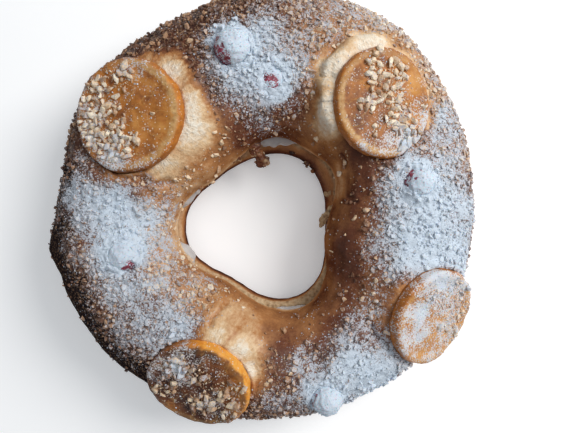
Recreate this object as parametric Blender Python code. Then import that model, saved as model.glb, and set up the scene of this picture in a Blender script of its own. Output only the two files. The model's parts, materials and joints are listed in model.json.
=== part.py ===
"""Roscon de reyes: a brioche ring, split level and filled with cream, with orange slices and cherries.

Metres, +Z up. The ring lies flat; angles are in degrees, anticlockwise from +X seen from above. The
origin is the bottom centre of the whole. The bread and the cream are lofts round the ring, and the
fruit sits in pockets that are cut for it in the bread's top half.
"""
import math

import bmesh
import bpy
from mathutils import Matrix, Vector

GAP = 0.0003                       # air between pieces that touch

# The ring in plan.
OUTER_RADIUS = 0.1366
HOLE_CENTRE = (-0.0038, -0.0147)   # the hole lies off the ring's centre
HOLE_RADIUS = 0.0486
HOLE_TRIANGLE = 0.0049             # the hole is a rounded triangle, this far from a circle
HOLE_CORNER = 62.0                 # direction of one of its three corners

# The layers, from the base up.
CUT_HEIGHT = 0.0250                # top of the bottom half
CREAM_HEIGHT = 0.0100
EQUATOR_RISE = 0.0040              # the top half is widest this far above its cut
CREST_HEIGHT = 0.0725
DOME_POWER = 2.35                  # 2 is an ellipse, more is fuller
CUT_TUCK = 0.0009                  # the cut edge lies this far inside the widest line

# Swellings, each as (direction, reach in degrees, size).
OUTER_SWELLINGS = (
    (55, 20, 0.0036), (212, 26, 0.0024), (245, 20, 0.0008), (318, 20, 0.0018),
    (2, 24, -0.0044), (168, 16, -0.0062), (117, 18, -0.0056),
)
HOLE_SWELLINGS = ((300, 30, 0.0012), (236, 20, -0.0022), (120, 20, 0.0015), (20, 16, 0.0008))
BASE_SETBACKS = ((38, 26, 0.0090), (80, 16, 0.0045), (180, 360, 0.0006))
LID_SETBACKS = ((36, 20, 0.0093), (80, 20, 0.0078), (298, 26, 0.0048), (345, 16, -0.0030),
                (180, 20, 0.0010), (136, 18, -0.0026))
CREAM_BULGES = ((157, 9, 0.0052), (200, 9, 0.0072), (80, 12, 0.0088), (8, 8, 0.0088), (290, 10, 0.0048))
CREAM_SETBACK = 0.0032             # the cream's edge behind the lid's, between the bulges
CREST_SWELLINGS = ((147, 26, 0.0018), (40, 26, 0.0020), (92, 18, 0.0012), (5, 18, 0.0010),
                   (205, 24, 0.0006), (290, 30, -0.0028), (180, 12, -0.0016), (66, 7, -0.0014))

# The small unevenness of hand-shaped dough, as waves round the ring: (count, size, phase in degrees).
OUTLINE_WAVES = ((7, 0.00050, 40), (11, 0.00035, 130), (17, 0.00025, 250))
BASE_WAVES = ((3, 0.00080, 70), (13, 0.00030, 10))
CREST_WAVES = ((5, 0.00060, 15), (8, 0.00050, 200), (13, 0.00030, 90))
CREAM_WAVES = ((5, 0.00110, 20), (9, 0.00070, 0))

# Pillows of dough pushed up round the fruit, and dents pressed in under its outer edges,
# each as (x, y, reach, rise) in the ring's plan.
PILLOWS = (
    (-0.050, 0.051, 0.020, 0.0060), (0.048, 0.084, 0.018, 0.0062), (0.046, 0.052, 0.016, 0.0066),
    (-0.029, -0.088, 0.020, 0.0056), (0.080, -0.048, 0.017, 0.0050), (-0.104, -0.030, 0.022, 0.0020),
    (0.100, 0.020, 0.024, 0.0016), (0.018, -0.104, 0.022, 0.0016), (-0.014, 0.090, 0.022, 0.0018),
)
DENTS = (
    (-0.103, 0.034, 0.020, 0.0062), (-0.090, 0.076, 0.016, 0.0020), (0.110, 0.064, 0.021, 0.0084),
    (0.104, 0.046, 0.017, 0.0072), (-0.052, -0.124, 0.016, 0.0030), (0.112, -0.078, 0.018, 0.0040),
    (-0.086, -0.002, 0.012, 0.0022), (0.060, -0.092, 0.014, 0.0016),
)
LUMP = (191.5, 4.2, 0.0440, 0.0100, 0.0070)   # on the outer side: direction, reach, height, reach, size

# Stations round the ring and points over the dome.
LID_STATIONS = 88
DOME_POINTS = 13
BASE_STATIONS = 72
CREAM_STATIONS = 90

# Each profile runs (inset from the piece's edge, height), from the bottom to the top.
BASE_INNER = ((0.0105, 0.0), (0.0038, 0.0030), (0.0009, 0.0080), (0.0, 0.0140))
BASE_SHOULDER = (0.35, 0.0195)     # part of the setback that is reached at this height
BASE_OUTER = ((0.0125, 0.0), (0.0050, 0.0032), (0.0014, 0.0090), (0.0, 0.0170), (0.0004, CUT_HEIGHT))
CREAM_OUTER_INSET = 0.0034
CREAM_ROUND = 0.0018               # how far the cream's edge rounds back at its faces
CREAM_EDGE = ((1.0, 0.0), (0.2, 0.28), (0.2, 0.72), (1.0, 1.0))  # (part of the rounding, of the height)

# Candied fruit.
SLICE_THICKNESS = 0.0088
SLICE_ROUND = 0.0022
SLICE_SIDES = 36
SLICE_DROOP = 0.0024               # the soft slice sags this much at its lower and upper edge
ORANGE_SLICES = (             # direction, distance, height of the top, lean, leans to, radius, oval
    (147.4, 0.0962, 0.0776, 13, 178, 0.0340, 1.00),
    (39.4, 0.0930, 0.0780, 18, 2, 0.0330, 0.93),
    (250.2, 0.1182, 0.0708, 26, 250, 0.0320, 0.93),
    (326.2, 0.1262, 0.0672, 37, 331, 0.0308, 1.00),
)
CHERRIES = (                       # direction, distance, height of the middle, radius
    (101.2, 0.0939, 0.0735, 0.0115),
    (85.6, 0.0741, 0.0680, 0.0092),
    (200.4, 0.0897, 0.0715, 0.0100),
    (7.4, 0.0935, 0.0725, 0.0098),
    (287.6, 0.1250, 0.0640, 0.0097),
)
CHERRY_FLATNESS = 0.90

SHARP_ANGLE = 50.0                 # edges sharper than this aren't shaded smooth

# Surface colours (linear), roughness.
CRUST = ((0.115, 0.040, 0.014), 0.45)
CREAM = ((0.80, 0.77, 0.70), 0.50)
ORANGE = ((0.52, 0.16, 0.014), 0.30)
CHERRY = ((0.20, 0.012, 0.018), 0.25)


def swelling(angle, centre, reach):
    """A smooth hump, 1 at its centre, round the circle."""
    away = (angle - centre + 180.0) % 360.0 - 180.0
    return math.exp(-(away / reach) ** 2)


def swellings(angle, listed):
    """The sum of a list's humps at an angle."""
    return sum(size * swelling(angle, centre, reach) for centre, reach, size in listed)


def waves(angle, listed):
    """The sum of a list's waves at an angle."""
    return sum(size * math.sin(math.radians(count * angle + phase)) for count, size, phase in listed)


def outer_radius(angle):
    """The bread's outline, from the ring's centre."""
    return OUTER_RADIUS + swellings(angle, OUTER_SWELLINGS) + waves(angle, OUTLINE_WAVES)


def hole_radius(angle):
    """The bottom half's edge at the hole, from the hole's centre."""
    triangle = HOLE_TRIANGLE * math.cos(math.radians(3.0 * (angle - HOLE_CORNER)))
    return HOLE_RADIUS + triangle + swellings(angle, HOLE_SWELLINGS)


def lid_hole_radius(angle):
    """The top half's edge at the hole."""
    return hole_radius(angle) + swellings(angle, LID_SETBACKS)


def cream_hole_radius(angle):
    """The cream's edge at the hole: set back, and squeezed out in a few places."""
    return lid_hole_radius(angle) + CREAM_SETBACK - swellings(angle, CREAM_BULGES)


def edges(angle, inner, outer):
    """The edge points at the hole and at the outside, and the level direction between them."""
    turned = math.radians(angle)
    ray = Vector((math.cos(turned), math.sin(turned), 0.0))
    at_hole = Vector((*HOLE_CENTRE, 0.0)) + ray * inner
    at_outside = ray * outer
    return at_hole, at_outside, (at_outside - at_hole).normalized()


def lifted(point, height):
    """A plan point raised to a height."""
    return Vector((point.x, point.y, height))


def mounds(point, listed):
    """The height of a list's soft mounds at a plan point."""
    total = 0.0
    for x, y, reach, rise in listed:
        away = math.hypot(point.x - x, point.y - y) / reach
        total += rise * math.exp(-away * away)
    return total


def base_section(angle):
    """The bottom half: a flat foot, rounded sides and a level cut on top."""
    outer = outer_radius(angle) + waves(angle, BASE_WAVES)
    at_hole, at_outside, across = edges(angle, hole_radius(angle), outer)
    setback = swellings(angle, BASE_SETBACKS)
    inner = [lifted(at_hole + across * inset, height) for inset, height in BASE_INNER]
    shoulder_part, shoulder_height = BASE_SHOULDER
    inner.append(lifted(at_hole + across * (shoulder_part * setback), shoulder_height))
    inner.append(lifted(at_hole + across * setback, CUT_HEIGHT))
    outer = [lifted(at_outside - across * inset, height) for inset, height in BASE_OUTER]
    return inner + outer[::-1]


def cream_section(angle):
    """The cream: a level layer with soft edges that bulge."""
    outer = outer_radius(angle) - CREAM_OUTER_INSET + waves(angle, CREAM_WAVES)
    at_hole, at_outside, across = edges(angle, cream_hole_radius(angle), outer)
    bottom = CUT_HEIGHT + GAP
    top = CUT_HEIGHT + CREAM_HEIGHT - GAP
    edge = [(CREAM_ROUND * inset, bottom + (top - bottom) * height) for inset, height in CREAM_EDGE]
    inner = [lifted(at_hole + across * inset, height) for inset, height in edge]
    outer = [lifted(at_outside - across * inset, height) for inset, height in edge]
    return inner + outer[::-1]


def lump(angle, height, index):
    """How far the lump on the outer side stands out at a point of the dome."""
    if index <= DOME_POINTS // 2:
        return 0.0
    direction, reach, middle, height_reach, size = LUMP
    return size * swelling(angle, direction, reach) * math.exp(-((height - middle) / height_reach) ** 2)


def lid_section(angle):
    """The top half: a level cut, a short tuck and a full dome."""
    at_hole, at_outside, across = edges(angle, lid_hole_radius(angle), outer_radius(angle))
    width = (at_outside - at_hole).length
    cut = CUT_HEIGHT + CREAM_HEIGHT
    equator = cut + EQUATOR_RISE
    rise = CREST_HEIGHT + swellings(angle, CREST_SWELLINGS) + waves(angle, CREST_WAVES) - equator
    points = [lifted(at_hole + across * CUT_TUCK, cut)]
    for index in range(DOME_POINTS):
        turn = math.pi * index / (DOME_POINTS - 1)
        over = math.copysign(abs(math.cos(turn)) ** (2.0 / DOME_POWER), math.cos(turn))
        up = math.sin(turn) ** (2.0 / DOME_POWER) if 0 < index < DOME_POINTS - 1 else 0.0
        plan = at_hole + across * (0.5 * width * (1.0 - over))
        height = equator + up * (rise + mounds(plan, PILLOWS) - mounds(plan, DENTS))
        points.append(lifted(plan, height) + across * lump(angle, height, index))
    points.append(lifted(at_outside - across * CUT_TUCK, cut))
    return points


def material(name, look):
    """A Principled surface with a colour and a roughness."""
    colour, roughness = look
    made = bpy.data.materials.new(name)
    made.use_nodes = True
    shader = made.node_tree.nodes["Principled BSDF"]
    shader.inputs["Base Color"].default_value = (*colour, 1.0)
    shader.inputs["Roughness"].default_value = roughness
    made.diffuse_color = (*colour, 1.0)
    return made


def add_object(name, mesh, look, collection, parent):
    """An object of its own, smooth-shaded, in a collection and under the origin."""
    mesh.shade_smooth()
    mesh.set_sharp_from_angle(angle=math.radians(SHARP_ANGLE))
    made = bpy.data.objects.new(name, mesh)
    made.data.materials.append(look)
    made.parent = parent
    collection.objects.link(made)
    return made


def mesh_from(bm, name):
    """A mesh from a bmesh with its faces pointing out."""
    bmesh.ops.recalc_face_normals(bm, faces=bm.faces)
    mesh = bpy.data.meshes.new(name)
    bm.to_mesh(mesh)
    bm.free()
    return mesh


def ring_mesh(name, stations, section):
    """A closed ring: a loft through the section at each station."""
    bm = bmesh.new()
    rings = []
    for index in range(stations):
        rings.append([bm.verts.new(point) for point in section(360.0 * index / stations)])
    for here, there in zip(rings, rings[1:] + rings[:1]):
        count = len(here)
        for index in range(count):
            after = (index + 1) % count
            bm.faces.new((here[index], here[after], there[after], there[index]))
    return mesh_from(bm, name)


def at_distance(angle, distance, height):
    """A point at a direction and a distance from the ring's centre."""
    turned = math.radians(angle)
    return Vector((distance * math.cos(turned), distance * math.sin(turned), height))


def is_rim(edge, radius):
    """Whether an edge of a disc runs along its rim, level and away from the middle."""
    first, second = edge.verts
    level = abs(first.co.z - second.co.z) < GAP
    return level and all(vert.co.to_2d().length > 0.5 * radius for vert in (first, second))


def slice_mesh(name, spec, grow=0.0):
    """An orange slice: a disc with a rounded rim that leans with the bread under it."""
    angle, distance, height, lean, leans_to, radius, oval = spec
    thickness = SLICE_THICKNESS + 2.0 * grow
    bm = bmesh.new()
    bmesh.ops.create_cone(bm, cap_ends=True, cap_tris=True, segments=SLICE_SIDES,
                          radius1=radius + grow, radius2=radius + grow, depth=thickness)
    rims = [edge for edge in bm.edges if is_rim(edge, radius)]
    bmesh.ops.bevel(bm, geom=rims, offset=SLICE_ROUND, segments=2, profile=0.5, affect="EDGES")
    downhill = at_distance(leans_to, 1.0, 0.0)
    for vert in bm.verts:
        along = vert.co.dot(downhill)
        vert.co -= downhill * (along * (1.0 - oval))
        vert.co.z -= SLICE_DROOP * (along / radius) ** 2
    lean_axis = at_distance(leans_to + 90.0, 1.0, 0.0)
    place = (Matrix.Translation(at_distance(angle, distance, height))
             @ Matrix.Rotation(math.radians(lean), 4, lean_axis)
             @ Matrix.Translation((0.0, 0.0, -0.5 * SLICE_THICKNESS)))
    bm.transform(place)
    return mesh_from(bm, name)


def cherry_mesh(name, spec, grow=0.0):
    """A candied cherry: a slightly flattened ball."""
    angle, distance, height, radius = spec
    bm = bmesh.new()
    bmesh.ops.create_uvsphere(bm, u_segments=12, v_segments=8, radius=radius)
    flattened = Matrix.Diagonal((1.0, 1.0, CHERRY_FLATNESS, 1.0))
    grown = Matrix.Scale(1.0 + grow / radius, 4)
    bm.transform(Matrix.Translation(at_distance(angle, distance, height)) @ flattened @ grown)
    return mesh_from(bm, name)


def cut_pocket(bread, cutter):
    """Cut a cutter's shape out of the bread."""
    cutter.hide_render = True
    cutter.display_type = "WIRE"
    pocket = bread.modifiers.new("Pocket", "BOOLEAN")
    pocket.operation = "DIFFERENCE"
    pocket.solver = "EXACT"
    pocket.object = cutter


def add_fruit(kind, specs, make_mesh, look, bread, collections, parent):
    """Each fruit as its own object, and the pocket that holds it."""
    pieces, cutters = collections
    for number, spec in enumerate(specs, start=1):
        name = f"{kind}_{number}"
        add_object(name, make_mesh(name, spec), look, pieces, parent)
        cutter_name = f"{name}_pocket"
        cutter = add_object(cutter_name, make_mesh(cutter_name, spec, GAP), look, cutters, parent)
        cut_pocket(bread, cutter)


def centre_on_base(origin, pieces):
    """Move the whole so that the world's origin is the bottom centre of its box."""
    bpy.context.view_layer.update()
    corners = [piece.matrix_world @ Vector(corner) for piece in pieces.objects for corner in piece.bound_box]
    low = [min(corner[axis] for corner in corners) for axis in range(3)]
    high = [max(corner[axis] for corner in corners) for axis in range(3)]
    origin.location = (-0.5 * (low[0] + high[0]), -0.5 * (low[1] + high[1]), -low[2])
    bpy.context.view_layer.update()


def new_collection(name):
    """A collection linked to the scene."""
    made = bpy.data.collections.new(name)
    bpy.context.scene.collection.children.link(made)
    return made


def main():
    """Build the roscon."""
    for old in list(bpy.data.objects):
        bpy.data.objects.remove(old)
    pieces = new_collection("roscon_de_reyes")
    cutters = new_collection("cutters")
    origin = bpy.data.objects.new("roscon_origin", None)
    pieces.objects.link(origin)

    crust = material("crust", CRUST)
    add_object("bread_base", ring_mesh("bread_base", BASE_STATIONS, base_section), crust, pieces, origin)
    add_object("cream_layer", ring_mesh("cream_layer", CREAM_STATIONS, cream_section),
               material("cream", CREAM), pieces, origin)
    lid = add_object("bread_top", ring_mesh("bread_top", LID_STATIONS, lid_section), crust, pieces, origin)

    places = (pieces, cutters)
    add_fruit("orange_slice", ORANGE_SLICES, slice_mesh, material("orange", ORANGE), lid, places, origin)
    add_fruit("cherry", CHERRIES, cherry_mesh, material("cherry", CHERRY), lid, places, origin)
    centre_on_base(origin, pieces)


main()
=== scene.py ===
"""Roscon de reyes: a baked brioche ring filled with cream, dressed around its solid model.

Metres, +Z up, in the model's frame, whose origin is the middle of the ring's underside. Directions
round the ring are in degrees, anticlockwise from +X seen from above. "Across" runs over the bread's
top half from 0 at the hole's edge to 1 at the outer edge.
"""
import json
import math

import bmesh
import bpy
import numpy as np
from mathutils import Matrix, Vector, noise
from mathutils.bvhtree import BVHTree
from mathutils.kdtree import KDTree

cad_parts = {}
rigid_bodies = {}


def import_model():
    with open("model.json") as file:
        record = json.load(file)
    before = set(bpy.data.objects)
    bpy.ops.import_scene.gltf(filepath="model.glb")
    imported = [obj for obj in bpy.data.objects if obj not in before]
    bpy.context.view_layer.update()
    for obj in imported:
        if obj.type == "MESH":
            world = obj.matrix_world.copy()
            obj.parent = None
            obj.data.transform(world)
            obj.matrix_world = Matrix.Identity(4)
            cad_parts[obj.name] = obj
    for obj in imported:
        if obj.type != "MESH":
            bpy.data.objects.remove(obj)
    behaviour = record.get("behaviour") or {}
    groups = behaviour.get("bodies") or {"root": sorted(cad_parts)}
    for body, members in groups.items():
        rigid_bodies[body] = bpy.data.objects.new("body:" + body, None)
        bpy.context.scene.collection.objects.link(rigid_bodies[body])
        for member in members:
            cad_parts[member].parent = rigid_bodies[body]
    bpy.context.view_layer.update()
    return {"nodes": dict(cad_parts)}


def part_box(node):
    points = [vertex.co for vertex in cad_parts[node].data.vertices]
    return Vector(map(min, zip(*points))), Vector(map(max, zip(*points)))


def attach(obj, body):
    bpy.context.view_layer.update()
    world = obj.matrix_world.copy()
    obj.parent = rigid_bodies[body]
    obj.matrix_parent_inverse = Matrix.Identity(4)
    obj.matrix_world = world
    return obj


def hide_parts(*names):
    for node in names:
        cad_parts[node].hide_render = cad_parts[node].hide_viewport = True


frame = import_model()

# Camera and light.
CAMERA_PLACE = (0.01755, -0.00722, 0.400)      # straight above the ring
CAMERA_LENS = 34.44
CAMERA_SENSOR = 36.0

# Fineness of the meshes.
TOP_GRAIN = 0.0013
BASE_GRAIN = 0.0016
CREAM_GRAIN = 0.0014
SLICE_GRAIN = 0.0009
CHERRY_GRAIN = 0.0006
SCRAP_GRAIN = 0.0005

# How far the crust is baked, from 0, pale dough, to 1, almost black, as (direction, amount). The inner and outer tables
# also hold painted shading: lighter on the slopes that face the window, darker on those that face away, and past 1 on
# the shaded left flank.
INNER_BAKE_AND_SHADING = ((0, 0.72), (14, 0.69), (30, 0.74), (48, 0.48), (62, 0.70), (78, 0.78), (92, 0.80), (106, 0.68),
              (120, 0.48), (140, 0.45), (180, 0.38), (230, 0.46), (262, 0.52), (290, 0.60), (318, 0.76), (332, 0.77),
              (346, 0.71))
CREST_BAKE = ((0, 0.79), (26, 0.56), (52, 0.40), (75, 0.62), (92, 0.86), (125, 0.86), (150, 0.62), (185, 0.86),
              (235, 0.80), (262, 0.62), (298, 0.84), (318, 0.66), (334, 0.76))
OUTER_BAKE_AND_SHADING = ((0, 0.84), (26, 0.46), (48, 0.40), (68, 0.44), (90, 0.78), (120, 0.92), (150, 0.86), (185, 1.08),
              (225, 1.24), (248, 1.10), (270, 0.86), (300, 0.86), (330, 0.72))

# Loose sugar dust, from 0 to 1, as (direction, amount).
INNER_DUST = ((0, 0.08), (25, 0.06), (60, 0.10), (78, 0.30), (92, 0.34), (106, 0.22), (120, 0.10), (150, 0.10),
              (166, 0.26), (182, 0.42), (200, 0.44), (225, 0.44), (242, 0.38), (254, 0.12), (270, 0.08), (290, 0.18),
              (318, 0.20), (340, 0.10))
CREST_DUST = ((0, 0.40), (24, 0.34), (40, 0.34), (60, 0.50), (76, 0.44), (90, 0.38), (106, 0.28), (118, 0.24),
              (130, 0.20), (150, 0.24), (165, 0.46), (180, 0.42), (195, 0.38), (210, 0.44), (228, 0.46), (243, 0.46), (258, 0.24),
              (276, 0.24), (290, 0.34), (302, 0.42), (325, 0.44), (345, 0.40))
OUTER_DUST = ((0, 0.48), (15, 0.40), (30, 0.50), (45, 0.50), (60, 0.50), (76, 0.48), (90, 0.26), (105, 0.16),
              (120, 0.14), (150, 0.16), (170, 0.32), (182, 0.34), (195, 0.14), (208, 0.22), (225, 0.28), (240, 0.10),
              (258, 0.22), (275, 0.30), (286, 0.46), (300, 0.60), (330, 0.54), (346, 0.48))

# Drifts of icing sugar, as (direction, across, reach, amount).
SUGAR_DRIFTS = (
    (99, 0.50, 0.026, 0.54), (87, 0.28, 0.018, 0.46), (81, 0.56, 0.018, 0.22),
    (191, 0.32, 0.024, 0.60), (178, 0.56, 0.017, 0.40), (178, 0.84, 0.014, 0.30), (205, 0.50, 0.014, 0.26),
    (224, 0.62, 0.014, 0.30), (238, 0.44, 0.016, 0.48), (217, 0.35, 0.014, 0.22),
    (352, 0.60, 0.026, 0.66), (12, 0.50, 0.020, 0.54), (343, 0.76, 0.024, 0.68), (2, 0.84, 0.014, 0.32),
    (300, 0.73, 0.025, 0.55), (285, 0.70, 0.019, 0.44), (273, 0.73, 0.018, 0.20), (305, 0.92, 0.016, 0.40),
    (22, 0.84, 0.016, 0.38),
)

# Streaks of icing sugar on the bare dough, as (from x, y, to x, y, width, amount).
DUSTED_DOUGH = (
    (0.0370, 0.0790, 0.0540, 0.0970, 0.0050, 0.34), (0.0400, 0.0560, 0.0415, 0.0760, 0.0040, 0.26),
    (-0.0800, 0.0150, -0.0520, 0.0120, 0.0050, 0.44), (-0.0330, -0.0760, -0.0250, -0.0640, 0.0040, 0.30),
)

# Chopped almonds: how thickly they lie, as (direction, amount), on the inner slope and on the rest.
INNER_ALMONDS = ((0, 0.10), (60, 0.18), (80, 0.36), (95, 0.40), (110, 0.34), (130, 0.26), (150, 0.20), (170, 0.50),
                 (190, 0.80), (215, 0.95), (240, 0.80), (252, 0.30), (262, 0.05), (300, 0.06), (340, 0.10))
CREST_ALMONDS = ((0, 0.75), (30, 0.90), (75, 1.00), (120, 1.00), (150, 0.90), (180, 0.70), (215, 1.20),
                 (245, 1.00), (262, 0.60), (285, 0.65), (305, 0.45), (322, 0.32), (340, 0.60))
OUTER_ALMONDS = ((0, 0.95), (30, 1.00), (75, 1.00), (105, 0.80), (135, 0.70), (160, 0.50), (176, 0.26), (192, 0.07),
                 (244, 0.08), (258, 0.55), (280, 0.75), (300, 0.60), (335, 0.80))

# Dough that was pulled clean round the orange slices, as
# (slice, direction from its middle, spread in degrees, reach, amount).
BARE_DOUGH = (
    ("orange_slice_1", -2, 40, 0.0140, 1.00), ("orange_slice_1", -54, 24, 0.0095, 0.66),
    ("orange_slice_1", 46, 24, 0.0115, 0.94), ("orange_slice_1", 74, 14, 0.0050, 0.60),
    ("orange_slice_2", 66, 18, 0.0060, 0.55), ("orange_slice_2", 104, 26, 0.0115, 0.92),
    ("orange_slice_2", 146, 26, 0.0140, 1.00), ("orange_slice_2", 189, 27, 0.0112, 1.00),
    ("orange_slice_2", 212, 14, 0.0056, 0.50), ("orange_slice_2", 20, 22, 0.0045, 0.40),
    ("orange_slice_2", -18, 18, 0.0050, 0.45),
    ("orange_slice_1", -95, 34, 0.0070, 0.45),
    ("orange_slice_3", 70, 20, 0.0210, 0.74), ("orange_slice_3", 42, 18, 0.0160, 0.86),
    ("orange_slice_3", 16, 17, 0.0085, 0.90),
    ("orange_slice_4", 150, 36, 0.0080, 0.40),
)

# Each cherry's bare patch, as (direction, height in degrees, how large it is).
BARE_CHERRY = {1: (208, 6, 0.46), 2: (190, 74, 0.16), 3: (304, 22, 0.15), 4: (156, 4, 0.34), 5: (170, 0, 0.16)}

# The sugar heaped round each cherry, as (share of the cherry's radius where it meets the cherry, reach as
# a share of that radius, direction where the cherry is free of it, spread of that in degrees).
CHERRY_HEAP = {1: (0.90, 1.35, 205, 62), 2: (0.58, 1.65, 200, 0), 3: (0.72, 1.60, 300, 26),
               4: (0.78, 1.65, 158, 36), 5: (0.93, 1.40, 250, 105)}

# How far each cherry is pressed into the bread.
CHERRY_SUNK = {1: 0.0004, 2: 0.0010, 3: 0.0026, 4: 0.0004, 5: 0.0}

# Rolls (and, where the height is negative, creases) of dough beside the slices, as
# (slice, direction from its middle, spread in degrees, distance from its edge, width, height).
DOUGH_ROLLS = (
    ("orange_slice_2", 185, 42, 0.0052, 0.0034, 0.0020), ("orange_slice_2", 185, 48, 0.0118, 0.0022, -0.0016),
    ("orange_slice_2", 118, 32, 0.0060, 0.0040, 0.0016), ("orange_slice_2", 118, 34, 0.0128, 0.0024, -0.0010),
    ("orange_slice_1", -8, 52, 0.0080, 0.0060, 0.0012), ("orange_slice_1", 10, 50, 0.0185, 0.0026, -0.0010),
    ("orange_slice_1", -95, 34, 0.0040, 0.0022, -0.0020),
    ("orange_slice_3", 52, 26, 0.0100, 0.0050, 0.0012), ("orange_slice_3", 8, 16, 0.0030, 0.0020, -0.0018),
    ("orange_slice_4", 160, 46, 0.0036, 0.0022, -0.0010), ("orange_slice_4", 204, 10, 0.0100, 0.0080, -0.0016),
)

# Dough that rises against the slices, as (slice, direction from its middle, spread in degrees, how much of
# the gap it fills, reach).
BANKED_DOUGH = (
    ("orange_slice_2", 186, 42, 0.72, 0.0160), ("orange_slice_2", 122, 36, 0.55, 0.0120),
    ("orange_slice_1", -28, 46, 0.50, 0.0150), ("orange_slice_3", 68, 34, 0.50, 0.0110),
    ("orange_slice_4", 165, 44, 0.45, 0.0120),
)

# Creases in the top half's crust, as (from x, y, to x, y, width, depth). Along them the crust is also painted darker,
# as painted shade.
CREASES = (
    (-0.086, 0.0185, -0.052, 0.0120, 0.0018, 0.0020), (0.064, -0.0700, 0.080, -0.0925, 0.0018, 0.0022),
    (0.0375, 0.0775, 0.0445, 0.0735, 0.0016, 0.0026), (0.0500, 0.0030, 0.0580, 0.0000, 0.0012, 0.0014),
    (0.0480, 0.0300, 0.0560, 0.0040, 0.0012, 0.0012), (0.0365, 0.0830, 0.0500, 0.1010, 0.0014, 0.0018),
    (-0.0300, -0.0720, -0.0210, -0.0600, 0.0016, 0.0014),
)

# Scraps of torn crust and crumb at the hole's edge, as (x, y, z, half width, half thickness, how much
# is crumb).
TORN_FLAP = (
    (-0.0085, 0.0395, 0.0400, 0.0030, 0.0016, 0.2), (-0.0040, 0.0400, 0.0400, 0.0036, 0.0016, 0.2),
    (-0.0050, 0.0365, 0.0385, 0.0036, 0.0014, 0.3), (-0.0022, 0.0345, 0.0370, 0.0034, 0.0014, 0.3),
    (-0.0012, 0.0320, 0.0355, 0.0034, 0.0014, 0.4), (0.0010, 0.0295, 0.0340, 0.0036, 0.0015, 0.4),
    (-0.0016, 0.0278, 0.0332, 0.0028, 0.0014, 0.5), (0.0028, 0.0285, 0.0335, 0.0024, 0.0013, 0.5),
    (0.0034, 0.0308, 0.0345, 0.0018, 0.0010, 0.5),
)
CRUMB_FLAP = (
    (0.0452, -0.0028, 0.0385, 0.0024, 0.0014, 0.8), (0.0434, -0.0052, 0.0372, 0.0026, 0.0014, 0.9),
    (0.0416, -0.0076, 0.0360, 0.0028, 0.0014, 1.0), (0.0402, -0.0102, 0.0348, 0.0026, 0.0013, 1.0),
    (0.0392, -0.0128, 0.0338, 0.0020, 0.0011, 0.9), (0.0460, -0.0074, 0.0368, 0.0026, 0.0014, 0.3),
    (0.0446, -0.0108, 0.0355, 0.0024, 0.0013, 0.3), (0.0477, -0.0024, 0.0392, 0.0028, 0.0015, 0.6),
    (0.0484, -0.0058, 0.0385, 0.0028, 0.0015, 0.3),
)
LOOSE_CRUMBS = (
    (0.0440, 0.0080, 0.0190, 0.0020, 0.0014, 0.9), (0.0462, 0.0090, 0.0218, 0.0016, 0.0012, 0.9),
    (0.0490, 0.0086, 0.0254, 0.0015, 0.0012, 1.0), (-0.0155, 0.0310, 0.0392, 0.0022, 0.0014, 0.3),
    (-0.0185, 0.0290, 0.0400, 0.0016, 0.0011, 0.3), (0.0202, 0.0374, 0.0195, 0.0020, 0.0013, 0.4),
    (0.0298, 0.0298, 0.0170, 0.0022, 0.0013, 0.3), (0.0347, 0.0246, 0.0155, 0.0018, 0.0012, 0.3),
)

# Where the bottom half's open crumb shows at the hole, as (direction, amount).
BOTTOM_CRUMB = ((-135, 0.7), (-110, 1.0), (-35, 1.0), (-12, 0.3), (10, 0.0), (80, 0.0), (110, 0.3), (170, 0.2), (205, 0.5))

ALMOND_SPACING = 0.0034
FRUIT_ALMOND_SPACING = 0.0035
CHIP_SPACING = 0.0024
CRUMB_SPACING = 0.0017
CLUMP_SPACING = 0.0016
RANDOM_SEED = 6


# ---------------------------------------------------------------- measures and small tools

def node_points(node):
    """The corner points of one of the model's solids."""
    data = frame["nodes"][node].data
    points = np.empty(len(data.vertices) * 3)
    data.vertices.foreach_get("co", points)
    return points.reshape(-1, 3)


def mesh_points(mesh):
    """A mesh's points."""
    points = np.empty(len(mesh.vertices) * 3)
    mesh.vertices.foreach_get("co", points)
    return points.reshape(-1, 3)


def mesh_normals(mesh):
    """The direction that a mesh's surface faces at each of its points."""
    normals = np.empty(len(mesh.vertices) * 3)
    mesh.vertices.foreach_get("normal", normals)
    return normals.reshape(-1, 3)


def place_points(mesh, points):
    """Moves a mesh's points."""
    mesh.vertices.foreach_set("co", points.ravel())
    mesh.update()


def ease(value, low, high):
    """Rises smoothly from 0 at low to 1 at high."""
    t = np.clip((value - low) / (high - low), 0.0, 1.0)
    return t * t * (3.0 - 2.0 * t)


def between(low, high, share):
    """The value that share of the way from low to high."""
    return low + (high - low) * share


def turned(direction):
    """A direction in degrees brought between -180 and 180."""
    return (direction + 180.0) % 360.0 - 180.0


def round_ring(directions, listed):
    """Reads a list of (direction, amount) at directions, smoothly round the ring."""
    known = np.array(listed, float)
    return np.interp(directions, known[:, 0], known[:, 1], period=360.0)


def grain(points, size, seed=0.0):
    """Smooth random values, mostly from -0.6 to 0.6, that change over about size metres."""
    shifted = points / size + np.array((17.3, 9.1, 5.7)) * (seed + 1.0)
    return np.array([noise.noise(p) for p in shifted.tolist()])


def directions_of(points, middle=(0.0, 0.0)):
    """Directions in degrees and distances of points from a middle, in plan."""
    x, y = points[:, 0] - middle[0], points[:, 1] - middle[1]
    return np.degrees(np.arctan2(y, x)), np.hypot(x, y)


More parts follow.
